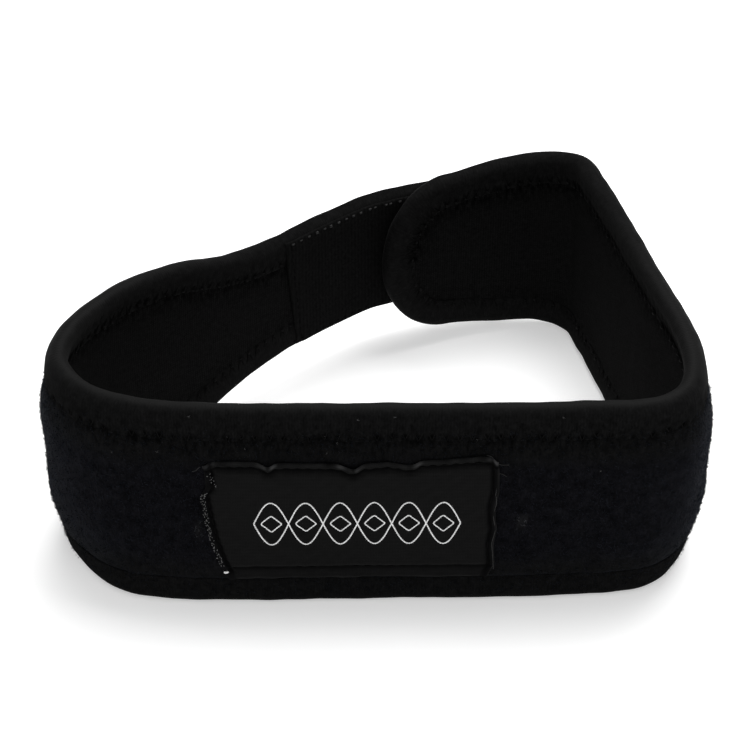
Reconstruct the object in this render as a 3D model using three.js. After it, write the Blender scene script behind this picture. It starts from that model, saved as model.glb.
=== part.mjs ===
// A patella strap: a soft band that is worn round the leg just below the kneecap. Loop pile cloth faces
// outwards and a knitted lining faces the skin, with a thin foam sheet between them. One tape is folded
// over the whole edge. A hook patch on the narrow end grips the pile on the outside of the wide, round
// tab. The strap is closed and stands on its lower edge. Millimetres, +Z up, label towards -Y.
import * as THREE from 'three';

// The loop, measured on the middle of the wall
const LOOP_WIDTH = 131.8;
const LOOP_DEPTH = 104.8;

// Heights of the band: round the front, at the hook end and at the tab
const BAND_HEIGHT = 50;
const HOOK_END_HEIGHT = 31.3;
const TAB_HEIGHT = 41.6;

// How far the wall bellies outwards, and the share of the height between the tape's legs that is full
const BELLY = 2.8;
const BELLY_TOP = 0.5;

// Thickness of each layer, and the gap between two of them
const FOAM = 1.3;
const PILE_BACKING = 0.6;
const PILE = 1.75;
const LINING = 0.6;
const GAP = 0.25;

// The tape that is folded over the edge
const TAPE = 0.7;
const TAPE_LEG = 7.5;

// How far each rounded end reaches along the band, and how far the hook end runs on behind the tab
const TAB_ROUND = 17.5;
const HOOK_ROUND = 12;
const LAP = 25;

// The hook patch: its cloth, its margin at the edges and how much of it shows beside the tab
const HOOK_CLOTH = 0.8;
const HOOK_MARGIN = 1.6;
const HOOK_SEEN = 28;
const GRIP_GAP = 0.6;

// The label on the front
const LABEL_WIDTH = 61;
const LABEL_HEIGHT = 29.5;
const LABEL_CLOTH = 0.9;
const LABEL_CORNER = 2;
const LABEL_ASIDE = -5;
const LABEL_BELOW_MIDDLE = 2;

// How finely the curves are cut
const MOST_TURN = THREE.MathUtils.degToRad(12);
const MOST_STEP = 9;
const LEAST_STEP = 1;
const PROBE_STEP = 0.5;
const ROUND_STEPS = 5;
const CORNER_STEPS = 3;
const PATH_SAMPLES = 1600;

// Depths through the wall, outwards from the middle of the foam
const pileBase = FOAM / 2 + GAP;
const backingTop = pileBase + PILE_BACKING;
const pileTop = pileBase + PILE;
const liningTop = -FOAM / 2 - GAP;
const liningBase = liningTop - LINING;
const tapeOutside = backingTop + GAP + TAPE;
const tapeInside = liningBase - GAP - TAPE;
const hookTop = tapeInside - GAP;
const hookBase = hookTop - HOOK_CLOTH;
const outermost = Math.max(pileTop, tapeOutside);
const labelBase = outermost + GAP;

// The middle parts of the layers begin where the tape's legs end
const fieldInset = TAPE_LEG + GAP;

// Where the middle of the wall runs, seen from above, from the narrow side round the front to the tab.
// x is a share of half the loop's width and y of its depth. narrow is how much of the change to the
// height of the nearer end is done, lean is how far the top tips outwards, in degrees, and belly is the
// share of the full belly.
const SECTIONS = [
  { place: 'hook end meets tab', x: 0.02, y: 0.955, narrow: 1, lean: 0, belly: 0 },
  { place: 'hook end in sight', x: -0.16, y: 0.868, narrow: 1, lean: 0, belly: 0 },
  { place: 'narrow run', x: -0.33, y: 0.765, narrow: 1, lean: 0, belly: 0.08 },
  { place: 'narrow run starts', x: -0.49, y: 0.66, narrow: 0.8, lean: 0, belly: 0.24 },
  { place: 'back left', x: -0.68, y: 0.54, narrow: 0.27, lean: 0, belly: 0.47 },
  { place: 'left side back', x: -0.86, y: 0.41, narrow: 0, lean: 0, belly: 0.7 },
  { place: 'left side', x: -0.98, y: 0.28, narrow: 0, lean: 0, belly: 0.75 },
  { place: 'left side low', x: -0.99, y: 0.17, narrow: 0, lean: 1.5, belly: 0.8 },
  { place: 'left corner', x: -0.914, y: 0.084, narrow: 0, lean: 1, belly: 0.75 },
  { place: 'left corner front', x: -0.79, y: 0.024, narrow: 0, lean: -1.5, belly: 0.6 },
  { place: 'left of the label', x: -0.6, y: 0.001, narrow: 0, lean: -1.2, belly: 0.35 },
  { place: 'front', x: 0, y: 0, narrow: 0, lean: 0, belly: 0.31 },
  { place: 'right of the label', x: 0.65, y: 0.009, narrow: 0, lean: 0.5, belly: 0.35 },
  { place: 'right corner front', x: 0.87, y: 0.029, narrow: 0, lean: 2, belly: 0.55 },
  { place: 'right corner', x: 0.955, y: 0.082, narrow: 0, lean: 3, belly: 0.85 },
  { place: 'right side', x: 1.001, y: 0.2, narrow: 0, lean: 0.5, belly: 0.85 },
  { place: 'right side middle', x: 0.899, y: 0.55, narrow: 0, lean: 0, belly: 0.4 },
  { place: 'right side back', x: 0.785, y: 0.875, narrow: 0, lean: 0, belly: 0.15 },
  { place: 'back corner', x: 0.738, y: 0.965, narrow: 0.08, lean: 0, belly: 0 },
  { place: 'back corner left', x: 0.62, y: 1, narrow: 0.3, lean: 0, belly: 0 },
  { place: 'tab', x: 0.435, y: 0.98, narrow: 0.56, lean: 0, belly: 0 },
  { place: 'tab round starts', x: 0.255, y: 0.942, narrow: 1, lean: 0, belly: 0 },
  { place: 'tab tip', x: 0.03, y: 0.87, narrow: 1, lean: 0, belly: 0 },
];

function planPoint(section) {
  return new THREE.Vector3((section.x * LOOP_WIDTH) / 2, section.y * LOOP_DEPTH, 0);
}

function smoothCurve(points, kind) {
  const curve = new THREE.CatmullRomCurve3(points, false, kind);
  curve.arcLengthDivisions = PATH_SAMPLES;
  return curve;
}

function outwards(tangent) {
  return new THREE.Vector3(tangent.y, -tangent.x, 0).normalize();
}

// The hidden end of the band follows the outside of the tab: these sections are the tab's own run,
// moved out by what lies between the two walls.
function lapSections() {
  const seen = smoothCurve(SECTIONS.map(planPoint), 'centripetal');
  const apart = outermost + GRIP_GAP - hookBase;
  return [1, 0.75, 0.5, 0.25, 0].map((share) => {
    const t = seen.getUtoTmapping(0, seen.getLength() - TAB_ROUND - share * LAP);
    const p = seen.getPoint(t).addScaledVector(outwards(seen.getTangent(t)), apart);
    return { place: 'lap', x: (2 * p.x) / LOOP_WIDTH, y: p.y / LOOP_DEPTH, narrow: 1, lean: 0, belly: 0 };
  });
}

const rows = [...lapSections(), ...SECTIONS];
const path = smoothCurve(rows.map(planPoint), 'centripetal');
const shape = smoothCurve(rows.map((r) => new THREE.Vector3(r.narrow, r.lean, r.belly)), 'catmullrom');
const pathLength = path.getLength();

function rowShare(place) {
  return rows.findIndex((r) => r.place === place) / (rows.length - 1);
}

function distanceAt(place) {
  return path.getLengths()[Math.round(rowShare(place) * PATH_SAMPLES)];
}

function atDistance(s) {
  return path.getUtoTmapping(0, THREE.MathUtils.clamp(s, 0, pathLength));
}

function halfHeight(t) {
  const narrow = THREE.MathUtils.clamp(shape.getPoint(t).x, 0, 1);
  const end = t < rowShare('front') ? HOOK_END_HEIGHT : TAB_HEIGHT;
  return THREE.MathUtils.lerp(BAND_HEIGHT, end, narrow) / 2;
}

// The belly starts at the edge and is full over the middle of the wall.
function bellyAt(t, height) {
  const full = BELLY_TOP * (halfHeight(t) - fieldInset);
  const rise = (halfHeight(t) - Math.abs(height)) / (halfHeight(t) - full);
  return BELLY * THREE.MathUtils.clamp(shape.getPoint(t).z, 0, 1) * THREE.MathUtils.clamp(rise, 0, 1);
}

// A point of the band: distance along it, height above its middle line, and depth out of the wall.
function onBand(s, height, depth) {
  const t = atDistance(s);
  const out = outwards(path.getTangent(t));
  const lean = THREE.MathUtils.degToRad(shape.getPoint(t).y);
  const bellied = depth + bellyAt(t, height);
  const across = height * Math.sin(lean) + bellied * Math.cos(lean);
  const up = height * Math.cos(lean) - bellied * Math.sin(lean);
  return path.getPoint(t).addScaledVector(out, across).setZ(BAND_HEIGHT / 2 + up);
}

// Distances along the band where it is cut into facets: close together where it turns.
function facetDistances(from, to) {
  const found = [from];
  let last = path.getTangent(atDistance(from));
  for (let s = from + PROBE_STEP; s < to; s += PROBE_STEP) {
    const here = path.getTangent(atDistance(s));
    const stepped = s - found[found.length - 1];
    if (stepped >= MOST_STEP || here.angleTo(last) >= MOST_TURN) {
      found.push(s);
      last = here;
    }
  }
  if (to - found[found.length - 1] < LEAST_STEP) found.pop();
  return [...found, to];
}

// A station of the band gives the distance along it and the half height there of an outline that lies
// a given inset inside the band's edge.
function straightStation(s) {
  return (inset) => [s, halfHeight(atDistance(s)) - inset];
}

function roundStation(reach, angle, fromEnd) {
  return (inset) => {
    const s = reach - (reach - inset) * Math.cos(angle);
    const base = fromEnd ? pathLength - reach : reach;
    const height = (halfHeight(atDistance(base)) - inset) * Math.sin(angle);
    return [fromEnd ? pathLength - s : s, height];
  };
}

const roundAngles = Array.from({ length: ROUND_STEPS }, (_, i) => ((i + 0.5) / ROUND_STEPS) * (Math.PI / 2));
const hookStations = roundAngles.map((a) => roundStation(HOOK_ROUND, a, false));
const tabStations = roundAngles.map((a) => roundStation(TAB_ROUND, a, true)).reverse();
const middleDistances = facetDistances(HOOK_ROUND, pathLength - TAB_ROUND);
const bandStations = [...hookStations, ...middleDistances.map(straightStation), ...tabStations];

function closedMesh(vertices, triangles) {
  const geometry = new THREE.BufferGeometry();
  geometry.setAttribute('position', new THREE.Float32BufferAttribute(vertices.flatMap((v) => v.toArray()), 3));
  geometry.setIndex(triangles);
  geometry.computeVertexNormals();
  return geometry;
}

// The skin between two rings of points. Each quad is cut from its higher corner on the first ring, so
// that two faces which lie side by side are cut alike.
function skin(rings, k, next) {
  const n = rings[k].length;
  return rings[k].flatMap((point, i) => {
    const j = (i + 1) % n;
    const [a, b, c, d] = [k * n + i, k * n + j, next * n + j, next * n + i];
    return point.z >= rings[k][j].z ? [a, b, c, a, c, d] : [a, b, d, b, c, d];
  });
}

// Lofts rings into a closed piece. Each ring runs along one edge from the inner face to the outer one
// and comes back along the other edge, and the two ends are closed by strips between the edges.
function loft(rings) {
  const n = rings[0].length;
  const last = (rings.length - 1) * n;
  const triangles = rings.slice(1).flatMap((_, k) => skin(rings, k, k + 1));
  for (let i = 0; i + 1 < n / 2; i++) {
    const [a, b, c, d] = [i, i + 1, n - 2 - i, n - 1 - i];
    triangles.push(a, d, c, a, c, b, last + a, last + b, last + c, last + a, last + c, last + d);
  }
  return closedMesh(rings.flat(), triangles);
}

// A layer of the band. profile lists [inset from the edge, depth, share of that outline's height] from
// the middle of the inner face round the edge to the middle of the outer face.
function bandLayer(profile, stations = bandStations) {
  const side = (station, sign) => profile.map(([inset, depth, share = 1]) => {
    const [s, height] = station(inset);
    return onBand(s, sign * share * height, depth);
  });
  return loft(stations.map((station) => [...side(station, 1), ...side(station, -1).reverse()]));
}

function sheetProfile(inset, innerDepth, outerDepth) {
  const face = (depth) => [[fieldInset, depth, BELLY_TOP], [fieldInset, depth], [inset, depth]];
  return [...face(innerDepth), ...face(outerDepth).reverse()];
}

// The inside of the folded tape narrows towards its crown; a layer's edge keeps clear of it.
const tapeMiddle = (tapeOutside + tapeInside) / 2;
const tapeRadius = (tapeOutside - tapeInside) / 2;
const channelHalf = tapeRadius - TAPE;
const channelFloorHalf = channelHalf / 2;

function layerInset(depth) {
  const aside = Math.max(0, Math.abs(depth - tapeMiddle) - channelFloorHalf);
  return TAPE + 2 * GAP + (aside / (channelHalf - channelFloorHalf)) * (tapeRadius - TAPE);
}

function foamGeometry() {
  return bandLayer(sheetProfile(layerInset(FOAM / 2 + GAP), -FOAM / 2, FOAM / 2));
}

function liningGeometry() {
  return bandLayer(sheetProfile(layerInset(liningBase), liningBase, liningTop));
}

// The pile stands full between the tape's legs, and only its backing runs on under them.
function pileGeometry() {
  const inset = layerInset(backingTop);
  return bandLayer([
    [fieldInset, pileBase, BELLY_TOP],
    [fieldInset, pileBase],
    [inset, pileBase],
    [inset, backingTop],
    [fieldInset, backingTop],
    [fieldInset + (pileTop - backingTop) / 2, pileTop],
    [fieldInset, pileTop, BELLY_TOP],
  ]);
}

// The tape in section: the outer leg, the fold with a flat crown, the inner leg, and the channel inside.
// The fold is half of a ten-sided ring, so half of a side turns through a tenth of that half.
function tapeSection() {
  const halfSide = Math.PI / 10;
  const fold = [5, 3, 1, -1, -3, -5].map((halves) => [
    tapeRadius * (1 - Math.cos(halves * halfSide) / Math.cos(halfSide)),
    tapeMiddle + tapeRadius * Math.sin(halves * halfSide),
  ]);
  const channel = [
    [tapeRadius, tapeMiddle - channelHalf],
    [TAPE, tapeMiddle - channelFloorHalf],
    [TAPE, tapeMiddle + channelFloorHalf],
    [tapeRadius, tapeMiddle + channelHalf],
  ];
  return [
    [TAPE_LEG, tapeOutside],
    ...fold,
    [TAPE_LEG, tapeInside],
    [TAPE_LEG, tapeInside + TAPE],
    ...channel,
    [TAPE_LEG, tapeOutside - TAPE],
  ];
}

// The tape runs along the top edge, round the tab, back along the lower edge and round the hook end.
function tapeGeometry() {
  const section = tapeSection();
  const run = (sign) => bandStations.map((station) => section.map(([inset, depth]) => {
    const [s, height] = station(inset);
    return onBand(s, sign * height, depth);
  }));
  const rings = [...run(-1), ...run(1).reverse()];
  return closedMesh(rings.flat(), rings.flatMap((_, k) => skin(rings, k, (k + 1) % rings.length)));
}

function hookGeometry() {
  const seam = distanceAt('hook end meets tab') + HOOK_SEEN;
  const before = middleDistances.filter((s) => s < seam - LEAST_STEP);
  const stations = [...hookStations, ...[...before, seam].map(straightStation)];
  return bandLayer(sheetProfile(HOOK_MARGIN, hookBase, hookTop), stations);
}

// The label is sewn flat on the front, with small round corners.
function labelGeometry() {
  const centre = distanceAt('front') + LABEL_ASIDE;
  const [from, to] = [centre - LABEL_WIDTH / 2, centre + LABEL_WIDTH / 2];
  const corner = Array.from({ length: CORNER_STEPS + 1 }, (_, i) => {
    const angle = (i / CORNER_STEPS) * (Math.PI / 2);
    return [LABEL_CORNER * (1 - Math.cos(angle)), LABEL_CORNER * (1 - Math.sin(angle))];
  });
  const aside = LABEL_CORNER + LEAST_STEP;
  const between = middleDistances.filter((s) => s > from + aside && s < to - aside);
  const outline = [
    ...corner.map(([along, down]) => [from + along, LABEL_HEIGHT / 2 - down]),
    ...between.map((s) => [s, LABEL_HEIGHT / 2]),
    ...corner.map(([along, down]) => [to - along, LABEL_HEIGHT / 2 - down]).reverse(),
  ];
  const foot = BAND_HEIGHT / 2 - fieldInset;
  const bends = [foot, foot * BELLY_TOP, -foot * BELLY_TOP, -foot].filter(
    (height) => Math.abs(height + LABEL_BELOW_MIDDLE) < LABEL_HEIGHT / 2 - LABEL_CORNER,
  );
  return loft(outline.map(([s, half]) => {
    const heights = [half - LABEL_BELOW_MIDDLE, ...bends, -half - LABEL_BELOW_MIDDLE];
    const outer = heights.map((height) => onBand(s, height, labelBase + LABEL_CLOTH));
    const inner = heights.map((height) => onBand(s, height, labelBase)).reverse();
    return [...outer, ...inner];
  }));
}

function cloth(color, roughness) {
  return new THREE.MeshStandardMaterial({ color, roughness, metalness: 0 });
}

const PIECES = [
  { name: 'foam_sheet', geometry: foamGeometry(), material: cloth(0x1a1a1a, 0.95) },
  { name: 'loop_pile_face', geometry: pileGeometry(), material: cloth(0x0c0c10, 1) },
  { name: 'knitted_lining', geometry: liningGeometry(), material: cloth(0x0e0e0e, 0.9) },
  { name: 'edge_tape', geometry: tapeGeometry(), material: cloth(0x161616, 0.85) },
  { name: 'hook_patch', geometry: hookGeometry(), material: cloth(0x0d0d0d, 0.8) },
  { name: 'woven_label', geometry: labelGeometry(), material: cloth(0x151515, 0.7) },
];

const strap = new THREE.Group();
for (const { name, geometry, material } of PIECES) {
  const mesh = new THREE.Mesh(geometry, material);
  mesh.name = name;
  strap.add(mesh);
}

// The origin is on the floor, below the middle of the strap's box.
const box = new THREE.Box3().setFromObject(strap);
const middle = box.getCenter(new THREE.Vector3());
strap.children.forEach((mesh) => mesh.position.set(-middle.x, -middle.y, -box.min.z));

export default strap;
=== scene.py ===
# %% [markdown]
# # A patella strap
# The real strap is cloth, foam and cloth, bound with a folded tape and closed into a loop by a
# hook patch. Each cloth is laid flat here as a grid, one square per step, and then wrapped round
# the loop, as the real one is made. So cloth, stitches and pile stay together at every bend.

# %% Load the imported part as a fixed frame
from math import cos, pi, radians, sin, tau
import bpy
import numpy as np
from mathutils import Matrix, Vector


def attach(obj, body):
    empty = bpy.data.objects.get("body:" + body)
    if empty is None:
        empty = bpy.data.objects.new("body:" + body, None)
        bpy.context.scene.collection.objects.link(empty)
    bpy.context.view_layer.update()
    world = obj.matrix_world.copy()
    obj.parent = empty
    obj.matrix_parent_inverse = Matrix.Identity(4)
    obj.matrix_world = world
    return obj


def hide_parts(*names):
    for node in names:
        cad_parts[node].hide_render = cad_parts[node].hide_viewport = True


random_from = np.random.default_rng
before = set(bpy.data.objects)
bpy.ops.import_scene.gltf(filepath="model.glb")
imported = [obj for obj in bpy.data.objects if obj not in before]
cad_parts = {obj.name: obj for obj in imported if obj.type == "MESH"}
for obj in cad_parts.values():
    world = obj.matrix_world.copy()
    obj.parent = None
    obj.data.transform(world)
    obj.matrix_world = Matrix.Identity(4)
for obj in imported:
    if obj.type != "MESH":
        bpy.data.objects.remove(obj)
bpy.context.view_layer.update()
bpy.ops.object.select_all(action="DESELECT")
print("the part has", sorted(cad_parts))

# %% [markdown]
# ## The camera
# The photograph looks down at about 35 degrees from half a metre away, so the front is larger than
# the back. A longer lens from further away would make the back too large.

# %% Set up the camera
LOOK_AT = Vector((-0.00011, -0.00812, 0.02501))
DISTANCE, LOOK_DOWN = 0.52, radians(35)
LENS = 111.57

away = Vector((0, -cos(LOOK_DOWN), sin(LOOK_DOWN)))
bpy.ops.object.camera_add(location=LOOK_AT + DISTANCE * away)
camera = bpy.context.object
camera.rotation_euler = (-away).to_track_quat("-Z", "Y").to_euler()
camera.data.lens = LENS
camera.data.clip_end = 20
bpy.context.scene.camera = camera
print("the camera stands at", [round(v, 3) for v in camera.location])

# %% [markdown]
# ## The run of the band
# Seen from above, the band runs from the hidden hook end round the front to the tab. A table gives
# where its middle passes, how far it has narrowed, its lean and its belly, and a Catmull-Rom curve
# joins the rows. A curve modifier could carry the cloth too, but numbers keep the stitches exactly
# on the tape.

# %% Sizes of the band, in millimetres
LOOP_WIDTH, LOOP_DEPTH = 131.8, 104.8
BAND_HEIGHT, HOOK_END_HEIGHT, TAB_HEIGHT = 50, 31.3, 41.6
BELLY, BELLY_TOP, BELLY_ROUNDING = 2.8, 0.5, 0.12
TAPE_LEG, TAPE_THICK, LEG_GAP = 7.5, 0.7, 0.25
TAB_ROUND, HOOK_ROUND, LAP = 17.5, 12, 25
PILE_TOP, LINING_FACE, HOOK_FACE, LABEL_FACE = 2.65, -1.5, -3.5, 3.8
TAPE_OUTSIDE, TAPE_INSIDE = 2.45, -2.45
FIELD = TAPE_LEG + LEG_GAP
LAP_APART = 6.75
PLAN_TO_FRAME = np.array([-0.113, -54.321, 0.011])

# place: (x share of half the width, y share of the depth, narrow, lean in degrees, belly)
SECTIONS = {
    "hook end meets tab": (0.02, 0.955, 1, 0, 0),
    "hook end in sight": (-0.16, 0.868, 1, 0, 0),
    "narrow run": (-0.33, 0.765, 1, 0, 0.08),
    "narrow run starts": (-0.49, 0.66, 0.8, 0, 0.24),
    "back left": (-0.68, 0.54, 0.27, 0, 0.47),
    "left side back": (-0.86, 0.41, 0, 0, 0.7),
    "left side": (-0.98, 0.28, 0, 0, 0.75),
    "left side low": (-0.99, 0.17, 0, 1.5, 0.8),
    "left corner": (-0.914, 0.084, 0, 1, 0.75),
    "left corner front": (-0.79, 0.024, 0, -1.5, 0.6),
    "left of the label": (-0.6, 0.001, 0, -1.2, 0.35),
    "front": (0, 0, 0, 0, 0.31),
    "right of the label": (0.65, 0.009, 0, 0.5, 0.35),
    "right corner front": (0.87, 0.029, 0, 2, 0.55),
    "right corner": (0.955, 0.082, 0, 3, 0.85),
    "right side": (1.001, 0.2, 0, 0.5, 0.85),
    "right side middle": (0.899, 0.55, 0, 0, 0.4),
    "right side back": (0.785, 0.875, 0, 0, 0.15),
    "back corner": (0.738, 0.965, 0.08, 0, 0),
    "back corner left": (0.62, 1, 0.3, 0, 0),
    "tab": (0.435, 0.98, 0.56, 0, 0),
    "tab round starts": (0.255, 0.942, 1, 0, 0),
    "tab tip": (0.03, 0.87, 1, 0, 0),
}


# %% A smooth curve through rows of numbers
def smooth_curve(rows, by_distance):
    """A Catmull-Rom curve, spaced evenly or by the root of the rows' distances."""
    p = np.asarray(rows, float)
    p = np.vstack([2 * p[0] - p[1], p, 2 * p[-1] - p[-2]])
    spans = len(p) - 3

    def at(t):
        place = np.clip(t, 0, 1) * spans
        i = np.minimum(place.astype(int), spans - 1)
        w = (place - i)[..., None]
        a, b, c, d = (p[i + k] for k in range(4))
        leave, arrive = (c - a) / 2, (d - b) / 2
        if by_distance:
            g, h, k = (np.linalg.norm(v - u, axis=-1, keepdims=True) ** 0.5
                       for u, v in ((a, b), (b, c), (c, d)))
            leave = ((b - a) / g - (c - a) / (g + h) + (c - b) / h) * h
            arrive = ((c - b) / h - (d - b) / (h + k) + (d - c) / k) * h
        bent = w**2 * (3 * (c - b) - 2 * leave - arrive)
        return b + w * leave + bent + w**3 * (2 * (b - c) + leave + arrive)

    return at


TIMES = np.linspace(0, 1, 1601)


def lengths_along(points):
    steps = np.linalg.norm(np.diff(points, axis=0), axis=1)
    return np.concatenate([[0], np.cumsum(steps)])


def outwards_at(at, t):
    along = at(np.minimum(t + 1e-4, 1)) - at(np.maximum(t - 1e-4, 0))
    along /= np.linalg.norm(along, axis=-1, keepdims=True)
    return np.stack([along[..., 1], -along[..., 0]], axis=-1)


# %% The plan, with the hidden hook end that follows the outside of the tab
table = np.array(list(SECTIONS.values()), float)
middles = table[:, :2] * (LOOP_WIDTH / 2, LOOP_DEPTH)
seen = smooth_curve(middles, True)
seen_length = lengths_along(seen(TIMES))
lap_places = seen_length[-1] - TAB_ROUND - LAP * np.array([1, 0.75, 0.5, 0.25, 0])
lap_times = np.interp(lap_places, seen_length, TIMES)
lap = seen(lap_times) + outwards_at(seen, lap_times) * LAP_APART

plan = smooth_curve(np.vstack([lap, middles]), True)
manner = smooth_curve(np.vstack([np.tile([1.0, 0, 0], (len(lap), 1)), table[:, 2:]]), False)
plan_length = lengths_along(plan(TIMES))
LENGTH = float(plan_length[-1])
ROWS = len(lap) + len(SECTIONS)


def time_of(place):
    return (len(lap) + list(SECTIONS).index(place)) / (ROWS - 1)


def distance_of(place):
    return float(np.interp(time_of(place), TIMES, plan_length))


print(f"the band is {LENGTH:.0f} mm long, laid flat")


# %% Heights, belly and any point of the band
def half_at(s):
    t = np.interp(s, plan_length, TIMES)
    end = np.where(t < time_of("front"), HOOK_END_HEIGHT, TAB_HEIGHT)
    return (BAND_HEIGHT + (end - BAND_HEIGHT) * np.clip(manner(t)[..., 0], 0, 1)) / 2


def on_band(s, height, depth):
    """Points in metres, from distance along the band, height and depth."""
    s, height, depth = np.broadcast_arrays(*(np.asarray(v, float) for v in (s, height, depth)))
    t = np.interp(s, plan_length, TIMES)
    out, way = outwards_at(plan, t), manner(t)
    half = half_at(s)
    rise = np.clip((half - np.abs(height)) / (half - BELLY_TOP * (half - FIELD)), 0, 1)
    fullness = rise + BELLY_ROUNDING * np.sin(rise * pi)
    bellied = depth + BELLY * np.clip(way[..., 2], 0, 1) * fullness
    lean = np.radians(way[..., 1])
    across = height * np.sin(lean) + bellied * np.cos(lean)
    up = BAND_HEIGHT / 2 + height * np.cos(lean) - bellied * np.sin(lean)
    flat = plan(t) + out * across[..., None]
    return (np.concatenate([flat, up[..., None]], axis=-1) + PLAN_TO_FRAME) / 1000


def outwards(s, height, depth):
    """The direction straight out of the wall."""
    d = on_band(s, height, np.asarray(depth) + 1.0) - on_band(s, height, depth)
    return d / np.linalg.norm(d, axis=-1, keepdims=True)


heights = 2 * half_at(np.array([0, distance_of("front"), LENGTH]))
print("heights of hook end, front and tab:", heights, "mm")

# %% [markdown]
# ## The edge of the band
# The tape goes round the whole outline: top, tab, bottom and hook end. Each place on that way is a
# straight line that leads in from the edge: along = a + b * inset and height = c + d * inset. A
# curve object could follow the outline too, but couldn't say how far inside it a point lies.

# %% The way round the edge
EDGE_STEP, STITCH_LINE = 0.5, 5.0


def end_half(reach, at_tab):
    """Half the band's height where an end starts to be round."""
    return float(half_at(np.array(float(LENGTH - reach if at_tab else reach))))


def edge_of(reach, angle, at_tab):
    a, b = reach * (1 - np.cos(angle)), np.cos(angle)
    along = (LENGTH - a, -b) if at_tab else (a, b)
    return np.stack([*along, end_half(reach, at_tab) * np.sin(angle), -np.sin(angle)], axis=1)


quarter = np.linspace(0, pi / 2, 60)
straight = np.arange(HOOK_ROUND + EDGE_STEP, LENGTH - TAB_ROUND, EDGE_STEP)
upper_edge = np.vstack([
    edge_of(HOOK_ROUND, quarter, False),
    np.stack([straight, 0 * straight, half_at(straight), 0 * straight - 1], axis=1),
    edge_of(TAB_ROUND, quarter, True)[::-1],
])
lower_edge = (upper_edge * (1, 1, -1, -1))[::-1]
way_round = np.vstack([upper_edge, lower_edge[1:]])
round_length = lengths_along(way_round[:, 0::2] + STITCH_LINE * way_round[:, 1::2])
ROUND = float(round_length[-1])
print(f"the tape is {ROUND:.0f} mm long at its stitches")


# %% From the edge to the band and back
def at_edge(p, inset):
    """Distance along the band and height, from p round the edge and the inset."""
    a, b, c, d = (np.interp(np.mod(p, ROUND), round_length, way_round[:, k]) for k in range(4))
    return a + b * inset, c + d * inset


def round_ends(s):
    """Both round ends: length, half height, and how far s lies from the tip."""
    hook_end = (HOOK_ROUND, end_half(HOOK_ROUND, False), s)
    return hook_end, (TAB_ROUND, end_half(TAB_ROUND, True), LENGTH - s)


def edge_distance(s, height):
    """How far inside the outline a point is, searched by halving at the round ends."""
    s, height = np.broadcast_arrays(np.asarray(s, float), np.abs(np.asarray(height, float)))
    found = half_at(s) - height
    for reach, base, from_end in round_ends(s):
        low, high = np.zeros_like(found), np.full_like(found, reach - 0.01)
        for _ in range(22):
            middle = (low + high) / 2
            flat, tall = (reach - from_end) / (reach - middle), height / (base - middle)
            inside = flat**2 + tall**2 < 1
            low, high = np.where(inside, middle, low), np.where(inside, high, middle)
        found = np.where(from_end < reach, low, found)
    return found


def outline_half(s, inset):
    """Half the height at s of an outline that lies inside the edge."""
    half = half_at(s) - inset
    for reach, base, from_end in round_ends(s):
        u = np.clip((reach - from_end) / (reach - inset), 0, 1)
        half = np.where(from_end < reach, (base - inset) * np.sqrt(1 - u**2), half)
    return half


# %% [markdown]
# ## Unevenness
# No cloth lies quite even. Waves in many directions, added up, give soft swells that are the same
# for the cloth and for what is sewn on it, which a Displace modifier wouldn't give.

# %% Soft swells
WAVES_ADDED = 14


def swells(x, y, length, seed):
    """Smooth unevenness from about -1 to 1, in swells of a given length."""
    chance = random_from(seed)
    total = 0
    for _ in range(WAVES_ADDED):
        turn, late = chance.uniform(0, tau, 2)
        k = tau / (length * chance.uniform(0.75, 1.5))
        total = total + np.sin(k * (x * cos(turn) + y * sin(turn)) + late)
    return total / WAVES_ADDED**0.5


def hump(distance, width):
    return np.exp(-((distance / width) ** 2))


def ramp(x):
    x = np.clip(x, 0, 1)
    return x * x * (3 - 2 * x)


# %% [markdown]
# ## From flat cut to wrapped cloth
# A grid primitive is the flat cut. Its UV map keeps the cut in millimetres, so that ribs and knit
# run with the cloth, and Solidify gives the thickness. Extrusions would bend the weave, and
# Blender's Cloth would have to find again the shape that the sizes give.

# %% Lay a cloth flat, wrap it and give it its thickness
def cut_cloth(name, columns, rows):
    """A flat grid, with the column and row of its points from 0 to 1."""
    bpy.ops.mesh.primitive_grid_add(x_subdivisions=columns, y_subdivisions=rows, size=2)
    cloth = bpy.context.object
    cloth.name = cloth.data.name = name
    flat = np.zeros(len(cloth.data.vertices) * 3, np.float32)
    cloth.data.vertices.foreach_get("co", flat)
    flat = flat.reshape(-1, 3)
    return cloth, (flat[:, 0] + 1) / 2, (flat[:, 1] + 1) / 2


def wrap(cloth, points, cut_x, cut_y, thickness, inwards=True, join_ends=False):
    """Moves the flat cloth to its place and gives it its thickness."""
    cloth.data.vertices.foreach_set("co", np.asarray(points, np.float32).ravel())
    corners = np.zeros(len(cloth.data.loops), np.int32)
    cloth.data.loops.foreach_get("vertex_index", corners)
    cloth.data.uv_layers[0].name = "cut"
    uv = np.stack([cut_x[corners], cut_y[corners]], axis=1).astype(np.float32)
    cloth.data.uv_layers["cut"].data.foreach_set("uv", uv.ravel())
    cloth.data.update()
    if join_ends:
        bpy.ops.object.mode_set(mode="EDIT")
        bpy.ops.mesh.select_all(action="SELECT")
        bpy.ops.mesh.remove_doubles(threshold=2e-6)
        bpy.ops.object.mode_set(mode="OBJECT")
    cloth.modifiers.new("thickness", "SOLIDIFY").thickness = thickness / 1000
    cloth.modifiers["thickness"].offset = -1 if inwards else 1
    bpy.ops.object.modifier_apply(modifier="thickness")
    bpy.ops.object.shade_smooth()
    print(f"{cloth.name}: {thickness} mm thick, {2 * len(cloth.data.polygons)} triangles")
    return cloth


def mark(cloth, name, values):
    """Keeps a number for each point, for the finish to read."""
    kept = cloth.data.attributes.new(name, "FLOAT", "POINT")
    kept.data.foreach_set("value", np.asarray(values, np.float32))


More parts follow.
